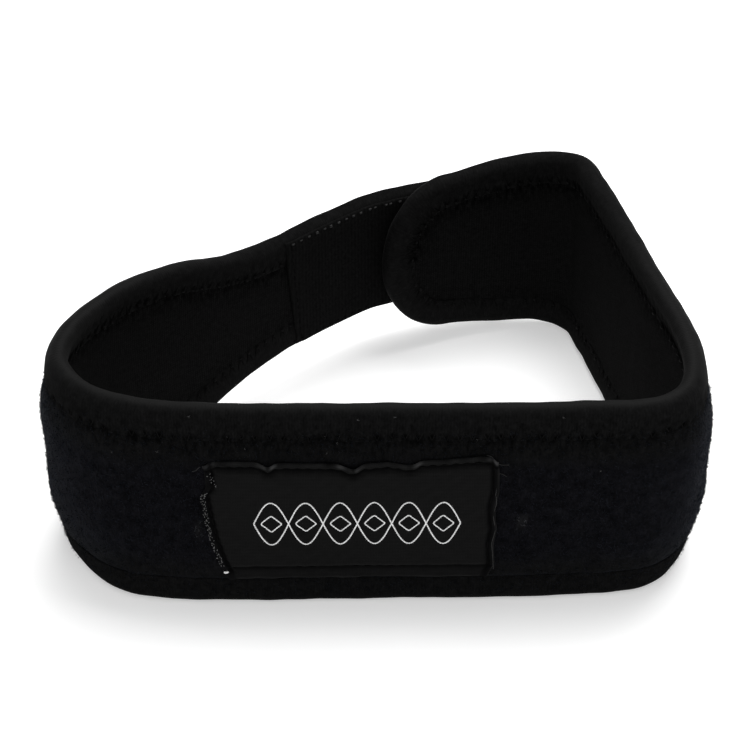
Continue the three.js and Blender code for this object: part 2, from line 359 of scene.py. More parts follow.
# %% [markdown]
# ## Finishes
# Each cloth has its own node material: a colour and a roughness that change from yarn to yarn, and
# a bump for yarns too fine to model. A projected photograph would bring its own light and end at
# the first hidden side.

# %% Short ways to build a node material
class Finish:
    def __init__(self, name, roughness, specular, sheen=0.0, sheen_roughness=0.5, tint=(1, 1, 1)):
        self.material = bpy.data.materials.new(name)
        self.material.use_nodes = True
        self.tree = self.material.node_tree
        self.shader = self.tree.nodes["Principled BSDF"]
        self.set(Roughness=roughness, Specular_IOR_Level=specular, Sheen_Weight=sheen,
                 Sheen_Roughness=sheen_roughness, Sheen_Tint=(*tint, 1))
        self.place = self.add("TexCoord").outputs["Object"]
        self.cut = self.add("UVMap", uv_map="cut").outputs["UV"]

    def add(self, kind, **values):
        return self.set(self.tree.nodes.new("ShaderNode" + kind), **values)

    def set(self, node=None, **values):
        """Sets up a node or the shader. Names with a capital are sockets."""
        node = node or self.shader
        for key, value in values.items():
            if key[0].isupper():
                self.feed(node.inputs[key.replace("_", " ")], value)
            else:
                setattr(node, key, value)
        return node

    def feed(self, socket, value):
        if isinstance(value, bpy.types.NodeSocket):
            self.tree.links.new(value, socket)
        else:
            socket.default_value = value

    def math(self, operation, a, b):
        node = self.add("Math", operation=operation)
        self.feed(node.inputs[0], a)
        self.feed(node.inputs[1], b)
        return node.outputs[0]

    def plus(self, a, b):
        return self.math("ADD", a, b)

    def times(self, a, b):
        return self.math("MULTIPLY", a, b)

    def noise(self, scale, detail=3.0, roughness=0.6, where=None):
        node = self.add("TexNoise", Scale=scale, Detail=detail, Roughness=roughness)
        return self.set(node, Vector=where or self.place).outputs["Fac"]

    def streaks(self, across, along, detail=4.0):
        """Noise drawn out along the cut, in changes per millimetre."""
        place = self.add("Mapping", Vector=self.cut, Scale=(across, along, 1))
        return self.noise(1.0, detail, 0.65, place.outputs["Vector"])

    def ribs(self, direction, scale, distortion):
        node = self.add("TexWave", wave_type="BANDS", bands_direction=direction, Vector=self.cut,
                        Scale=scale, Distortion=distortion, Detail=2.0)
        return node.outputs["Fac"]

    def map(self, value, **ends):
        return self.add("MapRange", Value=value, **ends).outputs["Result"]

    def spread(self, value, low, high):
        """Stretches a pattern so that low becomes 0 and high becomes 1."""
        return self.map(value, From_Min=low, From_Max=high)

    def read(self, name):
        return self.add("Attribute", attribute_name=name).outputs["Fac"]

    def between(self, share, dark, light):
        """Mixes two colours, each a socket, three numbers, or one for a grey."""
        node = self.add("Mix", data_type="RGBA", Factor=share)
        for socket, colour in ((node.inputs[6], dark), (node.inputs[7], light)):
            if isinstance(colour, float):
                colour = (colour,) * 3
            self.feed(socket, (*colour, 1) if isinstance(colour, tuple) else colour)
        return node.outputs[2]

    def crumple_shaded(self, cloth, dark, low=0.44, high=0.66, by_cut=True):
        """Painted shade: dark specks where the sewing crumples the cloth."""
        noise = self.streaks(1.0, 0.42, 3) if by_cut else self.noise(900, 3, 0.65)
        specks = self.times(self.spread(noise, low, high), self.read("band"))
        return self.between(specks, cloth, dark)

    def painted_shade_where(self, cloth, name, low, high, dark=0.001):
        """Paints shade on the cloth where the number of that name is high."""
        return self.between(self.spread(self.read(name), low, high), cloth, dark)

    def colour(self, value):
        self.set(Base_Color=value)

    def shine(self, value):
        self.set(Specular_IOR_Level=value)

    def rough(self, share, low, high):
        self.set(Roughness=self.map(share, To_Min=low, To_Max=high))

    def relief(self, height, millimetres, strength):
        node = self.add("Bump", Height=height, Strength=strength, Distance=millimetres / 1000)
        self.set(Normal=node.outputs["Normal"])


def dress(piece, finish, node=None):
    """Gives a piece its finish, hangs it under the root and hides the CAD node that it stands for.
    """
    piece.data.materials.clear()
    piece.data.materials.append(finish.material)
    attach(piece, "root")
    if node:
        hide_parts(node)


# %% [markdown]
# ## The zigzag and what it does to the cloth
# A zigzag sewn through all the layers holds the tape. No two stitches are alike. They press dents
# into every cloth, crumple it and hold the pile flat, so the zigzag is settled before any cloth is
# laid. The dents are real shape, because a bump would vanish at the outline. The crumples are only
# painted shade, dark specks in the colour, and the dents are darkened with painted shade as well.

# %% The zigzag's place on the tape
STITCH_AIM = 2.75
STITCHES = round(ROUND / STITCH_AIM)
ZIGZAG_PITCH = ROUND / STITCHES
ZIGZAG_NEAR, ZIGZAG_FAR = 3.4, 7.3


def uneven_corners(chance):
    """The corners of the zigzag, near and far in turn, none quite in its place."""
    corner = np.arange(2 * STITCHES)
    p = corner * ZIGZAG_PITCH / 2 + chance.uniform(-0.2, 0.2, len(corner))
    inset = np.where(corner % 2 == 0, ZIGZAG_NEAR, ZIGZAG_FAR)
    inset = inset + chance.normal(0, 0.22, len(corner))
    return np.append(p, p[0] + ROUND), np.append(inset, inset[0])


sewing = random_from(3)
corner_p, corner_inset = uneven_corners(sewing)
tightness = sewing.uniform(0.2, 1.15, 2 * STITCHES)
print(f"{STITCHES} pairs of stitches, {ZIGZAG_PITCH:.2f} mm apart")

# %% Dents, the painted shade of crumples, and rubbed spots
# How hard the zigzag pulls outside and inside, along the upper and the lower edge.
PULL_UPPER, PULL_LOWER = (1.0, 0.8), (0.4, 0.1)
# Rubbed spots beside the label: distance along the band, height, half width, half height.
RUBBED = ((189.6, -4.0, 0.7, 2.1), (255.9, -2.7, 0.8, 1.6), (256.6, -1.4, 0.6, 0.8))


def dents(p, inset):
    """How deep the zigzag presses."""
    p = np.mod(p, ROUND)
    beside = (inset - np.interp(p, corner_p, corner_inset)) * 0.33
    beyond = np.maximum(np.maximum(ZIGZAG_NEAR - inset, inset - ZIGZAG_FAR), 0)
    pressed = 0.25 * hump(beside, 0.45) * hump(beyond, 0.6)
    for first, size, pull in ((0, 0.65, 0.5), (1, 0.85, 1)):
        k = (2 * np.round((p / ZIGZAG_PITCH - first / 2)) + first).astype(int) % (2 * STITCHES)
        aside = np.mod(p - corner_p[k] + ROUND / 2, ROUND) - ROUND / 2
        hole = np.hypot(aside, (inset - corner_inset[k] + 0.5 * first) * 0.8)
        pressed = pressed + pull * tightness[k] * hump(hole, size)
    return np.clip(pressed, 0, 1.2)


def pull_at(s, h, side):
    """The zigzag pulls hard above, and hardly below and at the tab's end."""
    by_edge = np.where(h > 0, np.where(side > 0, *PULL_UPPER), np.where(side > 0, *PULL_LOWER))
    return (1 - 0.55 * ramp((s - LENGTH + 26) / 12)) * by_edge


def dents_near(s, h, e, side=1):
    """The dents beyond the tape, read off the straight runs."""
    upper = slice(len(upper_edge))
    p = np.interp(s, way_round[upper, 0], round_length[upper])
    return dents(np.where(h > 0, p, ROUND - p), e) * ramp((9.5 - e) / 2) * pull_at(s, h, side)


def crumple_shade_share(e, h):
    """How much painted shade the sewing's crumples get, from 0 to 1, weaker in the lower half."""
    return hump(e - 7.6, 3.4) * np.where(h > 0, 1, 0.35)


def neutral_share(e, h):
    """How far the pile loses its blue where the tape holds it down."""
    return ramp((15 - e) / np.where(h > 0, 5.5, 7))


def rubbed(s, h):
    return sum(hump(np.hypot((s - a) / wide, (h - b) / high), 1) for a, b, wide, high in RUBBED)


def mark_rubbing_and_painted_shade(piece, s, h, e):
    mark(piece, "band", crumple_shade_share(e, h))
    mark(piece, "near", neutral_share(e, h))
    mark(piece, "rubbed", rubbed(s, h))


# %% [markdown]
# ## The edge tape
# The tape is one knitted strip, 18 mm wide laid flat, folded over the edge and sewn through. It is
# wrapped round a half circle with two straight legs that sink into the cloth, and its fold is worn
# shinier where it is handled. That shine and its colour fade at the back of the loop and towards
# the narrow run as painted shade. A profile swept along a curve would be quicker, but would leave
# nothing for the dents to shape.

# %% Fold the tape over the edge
TAPE_RADIUS = (TAPE_OUTSIDE - TAPE_INSIDE) / 2
TAPE_MIDDLE = (TAPE_OUTSIDE + TAPE_INSIDE) / 2
BEND = TAPE_RADIUS * pi / 2
LEG = TAPE_LEG - TAPE_RADIUS
DENT = 0.4
SINK_UPPER, SINK_LOWER, SINK_INSIDE = 0.4, 0.1, 0.55
TAPE_STEP, TAPE_ROWS = 0.68, 30

tape, u, v = cut_cloth("binding", round(ROUND / TAPE_STEP), TAPE_ROWS)
p, w = u * ROUND, (1 - v * 2) * (BEND + LEG)
turn = np.clip(w / TAPE_RADIUS, -pi / 2, pi / 2)
leg = np.maximum(np.abs(w) - BEND, 0)
down_leg = ramp(leg / LEG)
inset = TAPE_RADIUS * (1 - np.cos(turn)) + leg
inset = inset + 0.05 * np.cos(tau * p / ZIGZAG_PITCH) * down_leg
s, h = at_edge(p, inset)
dent = dents(p, inset) * ramp((np.abs(w) - 2) / 2) * pull_at(s, h, w)
puff = -DENT * dent + 0.06 * swells(p, w, 16, 1) + 0.035 * swells(p, w, 5, 2)
outer_sink = np.where(h > 0, SINK_UPPER, SINK_LOWER) * down_leg**3
puff -= np.where(w > 0, outer_sink, SINK_INSIDE * down_leg**2)
s, h = at_edge(p, inset - puff * np.cos(turn) * (leg == 0))
depth = TAPE_MIDDLE + (TAPE_RADIUS + puff) * np.where(leg > 0, np.sign(w), np.sin(turn))
# Painted shade: the fold's wear fades at the back of the loop and before the narrow run, where less
# light falls on it.
shaded_at_back = ramp((on_band(s, h, depth)[:, 1] + 0.03) / 0.06)
unshaded_past_narrow_run = ramp((s - distance_of("narrow run starts")) / 30 + 0.7)
# Painted shade: the dents and the crumples darken the tape's colour.
mark(tape, "dent", dent)
mark(tape, "band", crumple_shade_share(inset, h))
mark(tape, "wear_and_painted_shade", hump(w + 0.3, 2.1) * (0.94 - 0.74 * shaded_at_back) * unshaded_past_narrow_run)
# Painted light: the inside leg is lightened against the shade it lies in.
mark(tape, "inside", ramp(-w / 3))
wrap(tape, on_band(s, h, depth), p, w, TAPE_THICK, join_ends=True)


# %% [markdown]
# ## Loop pile, lining and hook cloth
# The pile cloth stands full between the legs of the tape and dives under them, the lining does so
# inside, and the hook cloth lies over lining and tape at the narrow end. All are cut to the
# outline, as real ones are before they are bound. A boolean would tear their grid.

# %% A cloth that fills the outline
CLOTH_START, CLOTH_INSET = 3.2, 2.9
PILE_FOOT, PILE_DENT, LINING_DENT = 1.4, 0.45, 0.5


def fill_outline(name, step, rows, depth_of, thickness, inwards):
    """Lays a cloth all along the band, as high as the outline."""
    run = LENGTH - 2 * CLOTH_START
    cloth, u, v = cut_cloth(name, round(run / step), rows)
    s = CLOTH_START + run * np.clip(u - 0.012 * np.sin(tau * u), 0, 1)
    h = (2 * v - 1) * outline_half(s, CLOTH_INSET)
    e = edge_distance(s, h)
    # Marks for the painted shade of dents and crumples, and for real rubbed spots.
    mark(cloth, "dent", dents_near(s, h, e, 1 if inwards else -1))
    mark_rubbing_and_painted_shade(cloth, s, h, e)
    return wrap(cloth, on_band(s, h, depth_of(s, h, e)), s, h, thickness, inwards)


def pile_depth(s, h, e):
    """The pile swells at once beside the tape, then more slowly."""
    out_of_tape = ramp((e - TAPE_LEG + 1.0) / 1.3)
    full = ramp((e - TAPE_LEG + 0.5) / np.where(h > 0, 5, 10))
    uneven = 0.13 * swells(s, h, 22, 5) + 0.06 * swells(s, h, 6, 6)
    soft = 0.2 * full + uneven * out_of_tape
    shoulder = np.where(h > 0, 0.85, 1.05)
    depth = PILE_FOOT + shoulder * out_of_tape + (PILE_TOP - PILE_FOOT - shoulder) * full
    return depth + soft - PILE_DENT * dents_near(s, h, e) * out_of_tape


def lining_depth(s, h, e):
    full = ramp((e - TAPE_LEG + 2.5) / 4)
    soft = 0.12 * swells(s, h, 26, 7) + 0.04 * swells(s, h, 7, 8)
    dent = LINING_DENT * dents_near(s, h, e, -1)
    return LINING_FACE - 0.02 - (0.5 + soft) * full + dent * full


pile = fill_outline("pile_cloth", 0.95, 48, pile_depth, 0.7, True)
lining = fill_outline("lining_cloth", 1.1, 42, lining_depth, 0.6, False)

# %% The hook cloth ends at a slanting seam beside the tab
LAP_END, HOOK_SEEN = distance_of("hook end meets tab"), 28
HOOK_SEAM = LAP_END + HOOK_SEEN
HOOK_MARGIN, HOOK_THICK, HOOK_START, HOOK_SLANT = 1.0, 0.55, 1.2, 3.0


def hook_end_at(v):
    """Where the hook cloth ends, from 0 at its lower edge to 1."""
    return HOOK_SEAM + 0.5 + HOOK_SLANT * v


def hook_depth(s, h, e):
    """The cloth lies flat, follows the tape's fold and is sewn down at its end."""
    fold = np.clip(TAPE_RADIUS - e, 0, TAPE_RADIUS) / (TAPE_RADIUS + 0.25)
    to_end = hook_end_at((h / 15 + 1) / 2) - s
    flat = HOOK_FACE + 0.55 * ramp((s - LAP_END + 1) / 6) + 0.4 * ramp(1 - to_end / 2.4)
    sewn = 0.1 * hump(e - 2.2, 0.6) + 0.15 * hump(to_end - 1.6, 0.6)
    bent = TAPE_MIDDLE + (flat - TAPE_MIDDLE) * np.sqrt(1 - fold**2)
    return bent + sewn + 0.05 * swells(s, h, 13, 9)


hook, u, v = cut_cloth("hook_cloth", 130, 64)
s = HOOK_START + (hook_end_at(v) - HOOK_START) * u
h = (2 * v - 1) * outline_half(s, HOOK_MARGIN)
wrap(hook, on_band(s, h, hook_depth(s, h, edge_distance(s, h))), s, h, HOOK_THICK, False)

# %% [markdown]
# ## The label
# The label is a woven patch, folded under at its edges and sewn on through a groove. The fold makes
# a raised lip that puckers between stitches. Lip, groove and satin panel are pressed into a fine
# grid, because a subdivided box would give clean edges that no sewn label has.
# The lip's top edge is lightened as a painted highlight, and the groove darkened as painted shade.

# %% The outline of the label, in millimetres from its middle
LABEL_MIDDLE = distance_of("front") - 5
LABEL_DROP, LABEL_BOTTOM, LABEL_HIGH = -2, -14.75, 29.5
LABEL_SUNK, LABEL_THICK, LIP_SOFT = 0.15, 0.7, 0.6
GROOVE_TOP, GROOVE_LEFT, GROOVE_RIGHT, GROOVE_LOW = 1.35, 1.5, 1.3, 3.2
# Each lip: places along that side, and how far out it lies there.
TOP_LIP = ((-31, -27.2, -19.1, -16.8, -15, -3, 0.7, 2.6, 7.7, 12.3, 14.6, 20.1, 27, 28.8, 30.5),
           (14.3, 15.7, 15.7, 14.2, 15.4, 15.2, 13.6, 15.1, 15.6, 14.7, 15.9, 16.2, 16.9, 16.4,
            15.2))
LEFT_LIP = ((-14.75, -13, -9.5, -4.4, 1.6, 7.4, 9, 13, 15),
            (-25.6, -26.2, -27.6, -29, -30, -30.6, -29.4, -29.6, -30))
RIGHT_LIP = ((-14.75, -11.2, -6.2, -2.1, 0.6, 3.4, 7.4, 12, 15),
             (28.6, 30, 29.6, 30.2, 29.8, 29.7, 30.4, 30.3, 30))


def lip_at(place, lip):
    """Reads a lip's table with its corners rounded."""
    return sum(np.interp(place + k * LIP_SOFT, *lip) for k in (-1, -0.5, 0, 0.5, 1)) / 5


# %% Press the lip, the groove and the panel
def label_shade(up, left, right, bottom):
    """The groove between the lip and the satin panel, from 0 to 1."""
    groove = np.maximum.reduce([0.85 * hump(up - GROOVE_TOP, 0.34),
                                0.9 * hump(left - GROOVE_LEFT, 0.5),
                                0.8 * hump(right - GROOVE_RIGHT, 0.45)])
    low = 0.8 * hump(bottom - GROOVE_LOW, 0.45) * ramp(left - 1.5)
    return np.maximum(groove * ramp((bottom - 1.2) / 1.5), low)


def label_relief(x, y, up, left, right, bottom):
    """The height of the label's face."""
    lip = 0.3 * hump(up - 0.45, 0.45) + 0.5 * hump(left - 0.6, 0.7)
    lip = lip + 0.42 * hump(right - 0.5, 0.45)
    into_panel = np.minimum.reduce([up - 1.8, left - 1.9, right - 1.8, bottom - 3.3])
    pull = 0.12 * np.sin(tau * x / 2.3) * hump(up - 1.2, 0.9)
    pull = pull + 0.1 * np.sin(tau * y / 2.1) * hump(left - 1.5, 1)
    drape = 0.06 * swells(x, 0.35 * y, 6, 21) * ramp(up / 9 - 0.2) + 0.04 * swells(x, y, 3, 22)
    face = lip + 0.25 * ramp(into_panel / 0.8) - 0.45 * label_shade(up, left, right, bottom)
    return face - pull + drape


label, u, v = cut_cloth("label_cloth", 200, 100)
start_y = LABEL_BOTTOM + v * LABEL_HIGH
left_edge, right_edge = lip_at(start_y, LEFT_LIP), lip_at(start_y, RIGHT_LIP)
x = left_edge + (right_edge - left_edge) * u
top_edge = lip_at(x, TOP_LIP)
wander = 0.15 * swells(x, 0 * x, 9, 23) * (1 - v)
y = LABEL_BOTTOM + wander + (top_edge - LABEL_BOTTOM) * v
up, left, right, bottom = sides = (top_edge - y, x - left_edge, right_edge - x, y - LABEL_BOTTOM)
rounded = 0.5 * hump(np.minimum.reduce(sides), 0.3)
label_depth = LABEL_FACE - LABEL_SUNK + label_relief(x, y, *sides) - rounded

# %% Mark the label's satin, the groove, and the painted highlights on the lip
# Painted highlight: the top edge of the lip, most on its slopes, and the right edge are lightened
# where the fold catches the light.
slope = (lip_at(x + 0.4, TOP_LIP) - lip_at(x - 0.4, TOP_LIP)) / 0.8
fold = hump(up - 0.12, 0.32) * (0.18 + ramp(np.abs(slope) * 1.6 - 0.2)) + 0.22 * hump(right, 0.3)
fold *= 0.75 + 0.35 * swells(x, y, 3, 24)
panel = ramp(np.minimum.reduce([up - 1.5, left - 1.6, right - 1.6]) / 0.6)
panel = panel * (0.7 + 0.3 * ramp((bottom - 3) / 0.6))
# The top lip shares the satin's lighter colour and shine, a painted highlight on the lip that faces
# up.
top_lip_highlight = ramp((1.35 - up) / 0.3) * ramp((left - 0.6) / 1.5) * ramp((right - 0.6) / 1.5)
mark(label, "satin", np.maximum(panel, top_lip_highlight))
mark(label, "shade", label_shade(*sides))
mark(label, "fold", np.clip(fold, 0, 1))
wrap(label, on_band(LABEL_MIDDLE + x, LABEL_DROP + y, label_depth), x, y, LABEL_THICK)

# %% [markdown]
# ## Thread
# All the sewing is one small thing many times: a short thread that dips into the cloth at both
# ends. It is modelled once from a bisected cylinder, and its points are copied along each seam into
# one mesh. Instances would be lighter, but a mesh goes everywhere with the part.

# %% Model one stitch, and one loop of the pile
def modelled_once(name, sides, cuts, thin_ends):
    """Points and faces of a cylinder along X, bisected at the cuts."""
    bpy.ops.mesh.primitive_cylinder_add(vertices=sides, depth=1, rotation=(0, pi / 2, 0))
    piece = bpy.context.object
    bpy.ops.object.transform_apply(location=False, rotation=True, scale=False)
    bpy.ops.object.mode_set(mode="EDIT")
    for cut in cuts:
        bpy.ops.mesh.select_all(action="SELECT")
        bpy.ops.mesh.bisect(plane_co=(cut, 0, 0), plane_no=(1, 0, 0))
    bpy.ops.object.mode_set(mode="OBJECT")
    mesh = piece.data
    points = np.array([v.co for v in mesh.vertices])
    points[:, 1:] *= 1 - thin_ends * (np.abs(points[:, :1]) > 0.49)
    faces = [list(f.vertices) for f in mesh.polygons]
    bpy.data.objects.remove(piece)
    bpy.data.meshes.remove(mesh)
    print(f"one {name} has {len(points)} points and {len(faces)} faces")
    return points, faces


STITCH = modelled_once("stitch", 6, (-0.3, 0, 0.3), 0.35)
PILE_LOOP = modelled_once("pile loop", 3, (0,), 0.3)


# %% Copy it along a seam
def sew(name, template, starts, ends, ups, width, rise, dip=0.0, flatness=1.0):
    """One copy from each start to its end, with a rise in its middle."""
    points, faces = template
    count, shift = len(starts), len(points)
    width, rise = (np.broadcast_to(np.asarray(v, float), (count,))[:, None, None] / 1000
                   for v in (width, rise))
    along = ends - starts
    side = np.cross(ups, along)
    side /= np.linalg.norm(side, axis=1, keepdims=True)
    x, y, z = (points[None, :, k, None] for k in range(3))
    up = z * width * flatness / 2 + rise * (1 - (2 * x) ** 2) - dip / 1000
    placed = starts[:, None] + (x + 0.5) * along[:, None] + y * width / 2 * side[:, None]
    placed = placed + up * ups[:, None]
    all_faces = [[i + k * shift for i in face] for k in range(count) for face in faces]
    mesh = bpy.data.meshes.new(name)
    mesh.from_pydata(placed.reshape(-1, 3).tolist(), [], all_faces)
    mesh.polygons.foreach_set("use_smooth", np.ones(len(mesh.polygons), bool))
    piece = bpy.data.objects.new(name, mesh)
    bpy.context.scene.collection.objects.link(piece)
    mark(piece, "yarn", np.repeat(random_from(count).random(count), shift))
    print(f"{name}: {count} copies, {sum(len(f) - 2 for f in faces) * count} triangles")
    return piece


def sew_over(name, template, s, h, reach, depth, ups, *thread):
    """One copy over each place, from a reach before it to one beyond."""
    begin, finish = (on_band(s + k * reach[0], h + k * reach[1], depth) for k in (-1, 1))
    return sew(name, template, begin, finish, ups, *thread)


def random_steps(chance, count, short, long):
    """Half of each thread, in a direction of its own."""
    turn, reach = chance.uniform(0, pi, count), chance.uniform(short, long, count)
    return reach * np.cos(turn), reach * np.sin(turn)


def seam(name, s, h, depth, length, gap, width, up_sign=1, rise=0.16):
    """Even stitches along a line of places."""
    line, ups = on_band(s, h, depth), outwards(s, h, depth) * up_sign
    run = lengths_along(line) * 1000
    count = max(1, round((run[-1] - length) / (length + gap)) + 1)
    begin = np.linspace(0, run[-1] - length, count)

    def pick(at, of):
        return np.stack([np.interp(at, run, of[:, k]) for k in range(3)], axis=1)

    starts, ends = pick(begin, line), pick(begin + length, line)
    return sew(name, STITCH, starts, ends, pick(begin, ups), width, rise, 0.1, 0.8)


# %% The zigzag that holds the tape, outside and inside
def zigzag(name, side):
    """The threads lie in the dents; side is 1 outside and -1 inside."""
    s, h = at_edge(corner_p, corner_inset)
    depth = TAPE_MIDDLE + side * (TAPE_RADIUS - 0.4 - 0.15 * (corner_inset > 5))
    holes, ups = on_band(s, h, depth), outwards(s, h, depth) * side
    between = (ups[:-1] + ups[1:]) / 2
    return sew(name, STITCH, holes[:-1], holes[1:], between, 0.27, 0.26, 0.06, 0.8)


zigzag_outside = zigzag("zigzag_outside", 1)
zigzag_inside = zigzag("zigzag_inside", -1)

# A short loop of the other thread shows inside, at each far corner.
p, inset = corner_p[1::2], corner_inset[1::2] - 0.5
(s, h), (end_s, end_h) = at_edge(p - 0.4, inset + 0.2), at_edge(p + 0.35, inset - 0.15)
depth = TAPE_MIDDLE - (TAPE_RADIUS - 0.3)
begin, finish = on_band(s, h, depth), on_band(end_s, end_h, depth)
size = np.clip(tightness[1::2], 0.3, 1.1)
knots_inside = sew("knots_inside", STITCH, begin, finish, -outwards(s, h, depth),
                   0.75 * size, 0.3 * size, 0.05, 0.6)

# %% Seams and hooks of the hook cloth
chance = random_from(17)
s = np.arange(HOOK_SEAM + 1.0, 14, -2.35)
s = s + chance.normal(0, 0.25, len(s))
h = half_at(s) - 1.8
depth = hook_depth(s, h, 1.8 + 0 * s)
size = chance.uniform(0.4, 1, len(s))
ups, look = -outwards(s, h, depth), (0.75 * size, 0.26 * size, 0.1, 0.8)
hook_edge = sew_over("hook_edge_stitches", STITCH, s, h, (0.42, 0), depth, ups, *look)

s = np.linspace(HOOK_SEAM + 1.6, 14, 300)
h = 2.2 - half_at(s)
depth = hook_depth(s, h, 2.2 + 0 * s)
hook_low = seam("hook_low_stitches", s, h, depth, 0.9, 1.4, 0.4, -1, 0.2)

v = np.linspace(0.93, 0.07, 60)
s, h = hook_end_at(v) - 1.6, (2 * v - 1) * half_at(np.array(HOOK_SEAM))
depth = hook_depth(s, h, 5 + 0 * s) - 0.02
hook_end = seam("hook_end_stitches", s, h, depth, 1.6, 0.5, 0.28, -1, 0.12)

HOOK_ROW = 0.85
rows_s, rows_h = np.meshgrid(np.arange(12, HOOK_SEAM - 2.4, 1.25), np.arange(-11, 11.1, HOOK_ROW))
s, h = (rows_s + 0.6 * (np.round(rows_h / HOOK_ROW) % 2)).ravel(), rows_h.ravel()
depth = hook_depth(s, h, 5 + 0 * s) + 0.05
ups = -outwards(s, h, depth)
hooks = sew_over("hooks", PILE_LOOP, s, h, (0.2, 0.1), depth, ups, 0.13, 0.2)


# %% Seams round the label
def on_label(x, y, above=0.0):
    """Places on the label's face, as for on_band."""
    up, left, right = lip_at(x, TOP_LIP) - y, x - lip_at(y, LEFT_LIP), lip_at(y, RIGHT_LIP) - x
    depth = LABEL_FACE - LABEL_SUNK + above + label_relief(x, y, up, left, right, y - LABEL_BOTTOM)
    return LABEL_MIDDLE + x, LABEL_DROP + y, depth


label_stitch = (1.9, 0.45, 0.3)
side_y, top_x = np.linspace(-11.6, 12.2, 60), np.linspace(-27, 28.2, 160)
seam_y = np.concatenate([side_y, lip_at(top_x, TOP_LIP) - GROOVE_TOP, side_y[::-1]])
seam_x = np.concatenate([lip_at(side_y, LEFT_LIP) + GROOVE_LEFT, top_x,
                         lip_at(side_y[::-1], RIGHT_LIP) - 1.4])
label_seam = seam("label_seam", *on_label(seam_x, seam_y), *label_stitch)
low_x = np.linspace(-25.5, 28, 140)
low_y = 0 * low_x + LABEL_BOTTOM + GROOVE_LOW
label_low_seam = seam("label_low_seam", *on_label(low_x, low_y), *label_stitch)

# %% Pale stitches down the left lip, and their cut end
PALE = 100
chance = random_from(43)
pale_y = np.concatenate([np.linspace(12.9, 9.4, 12), np.linspace(8.4, -10.8, PALE - 12)])
pale_y = pale_y + chance.normal(0, 0.1, PALE)
aside = np.where(pale_y > 9, 0.5 + 0.25 * (12.9 - pale_y), 0)
aside = aside + chance.choice([0.15, 0.5, 0.8], PALE) + chance.normal(0, 0.06, PALE)
pale_x = lip_at(pale_y, LEFT_LIP) + aside
dx, dy = random_steps(chance, PALE, 0.08, 0.17)
begin, finish = (on_band(*on_label(pale_x + k * dx, pale_y + k * dy)) for k in (-1, 1))
ups = outwards(*on_label(pale_x, pale_y))
pale = sew("pale_stitches", STITCH, begin, finish, ups, 0.17, 0.1, 0.04)
tail = on_label(np.array([-26.5, -25.7, -25.1]), np.array([-12.5, -12.3, -12.5]), 0.25)
pale_end = seam("pale_thread_end", *tail, 1.1, 1, 0.55, rise=0.1)

# %% [markdown]
# ## The pattern on the label
# The label carries a plain traditional pattern in white outline stitches: two crossing waves, with
# a small lozenge in each eye. An image would be quicker, but thread keeps its edge close up.

# %% Two waves and their lozenges
WAVE, SWING, EYES = 14.2, 5.4, 6
LOZENGE_WIDE, LOZENGE_HIGH = 2.2, 2.1
PATTERN_X, PATTERN_Y = 1.3, 0.4


def embroider(name, x, y, length, overlap, width, rise):
    line = on_label(PATTERN_X + x, PATTERN_Y + y, 0.05)
    return seam(name, *line, length, -overlap, width, rise=rise)


x = np.linspace(-EYES / 4 * WAVE, EYES / 4 * WAVE, 500)
wave = SWING * np.sin(tau * x / WAVE)
white = [embroider(f"wave_{k}", x, k * wave, 0.62, 0.04, 0.33, 0.08) for k in (1, -1)]
corner, t = np.array([0, 1, 2, 3, 4]), np.linspace(0, 4, 41)
lozenge_x = np.interp(t, corner, LOZENGE_WIDE * np.cos(corner * pi / 2))
lozenge_y = np.interp(t, corner, LOZENGE_HIGH * np.sin(corner * pi / 2))
for k in range(EYES):
    eye_x = (k - (EYES - 1) / 2) * WAVE / 2 + lozenge_x
    white.append(embroider(f"lozenge_{k}", eye_x, lozenge_y, 0.6, 0.03, 0.31, 0.07))
bpy.ops.object.select_all(action="DESELECT")
for piece in white:
    piece.select_set(True)
bpy.context.view_layer.objects.active = white[0]
bpy.ops.object.join()
pattern = white[0]
pattern.name = pattern.data.name = "label_pattern"

# %% [markdown]
# ## The pile
# The outer cloth is brushed loop pile: thousands of tiny loops that give it its soft, bluish look.
# A bump would leave the outline hard, so real loops are sewn between the legs of the tape, except
# under the label and the lap. A few stray over the tape.

# %% Sew the loops of the pile
LOOPS = 14000
LOOPS_START, LOOPS_END = 4, LENGTH - TAB_ROUND - LAP - 6


def outer_face(s, h):
    """The depth of what faces outwards, pile or tape."""
    e = half_at(s) - np.abs(h)
    sink = np.where(h > 0, SINK_UPPER, SINK_LOWER) * ramp((e - TAPE_RADIUS) / LEG) ** 3
    tape_face, pile_face = TAPE_OUTSIDE - sink - DENT * dents_near(s, h, e), pile_depth(s, h, e)
    return np.where(e < TAPE_LEG, np.maximum(tape_face, pile_face), pile_face)


def pile_loops(name, seed):
    chance = random_from(seed)
    s = chance.uniform(LOOPS_START, LOOPS_END, LOOPS * 2)
    h = chance.uniform(-1, 1, LOOPS * 2) * (half_at(s) - 1.5)
    under_label = (np.abs(s - LABEL_MIDDLE - 0.5) < 29.5) & (np.abs(h - LABEL_DROP) < 14)
    over_tape = FIELD - half_at(s) + np.abs(h)
    thinned = ramp(np.where(h > 0, (over_tape + 0.3) / 4.4, (over_tape - 4) / 2.2))
    keep = ~under_label & (chance.random(len(s)) > thinned)
    s, h = s[keep][:LOOPS], h[keep][:LOOPS]
    steps = random_steps(chance, len(s), 0.18, 0.42)
    depth = outer_face(s, h) - 0.06
    ups = outwards(s, h, depth)
    ups += chance.normal(0, 0.35, ups.shape)
    ups /= np.linalg.norm(ups, axis=1, keepdims=True)
    rise = chance.uniform(0.15, 0.55, len(s)) * np.where(chance.random(len(s)) < 0.06, 1.5, 1)
    width = chance.uniform(0.07, 0.13, len(s))
    loops = sew_over(name, PILE_LOOP, s, h, steps, depth, ups, width, rise)
    s, h = (np.repeat(v, len(PILE_LOOP[0])) for v in (s, h))
    mark_rubbing_and_painted_shade(loops, s, h, half_at(s) - np.abs(h))
    return loops


loops_a = pile_loops("pile_loops_a", 31)
loops_b = pile_loops("pile_loops_b", 32)
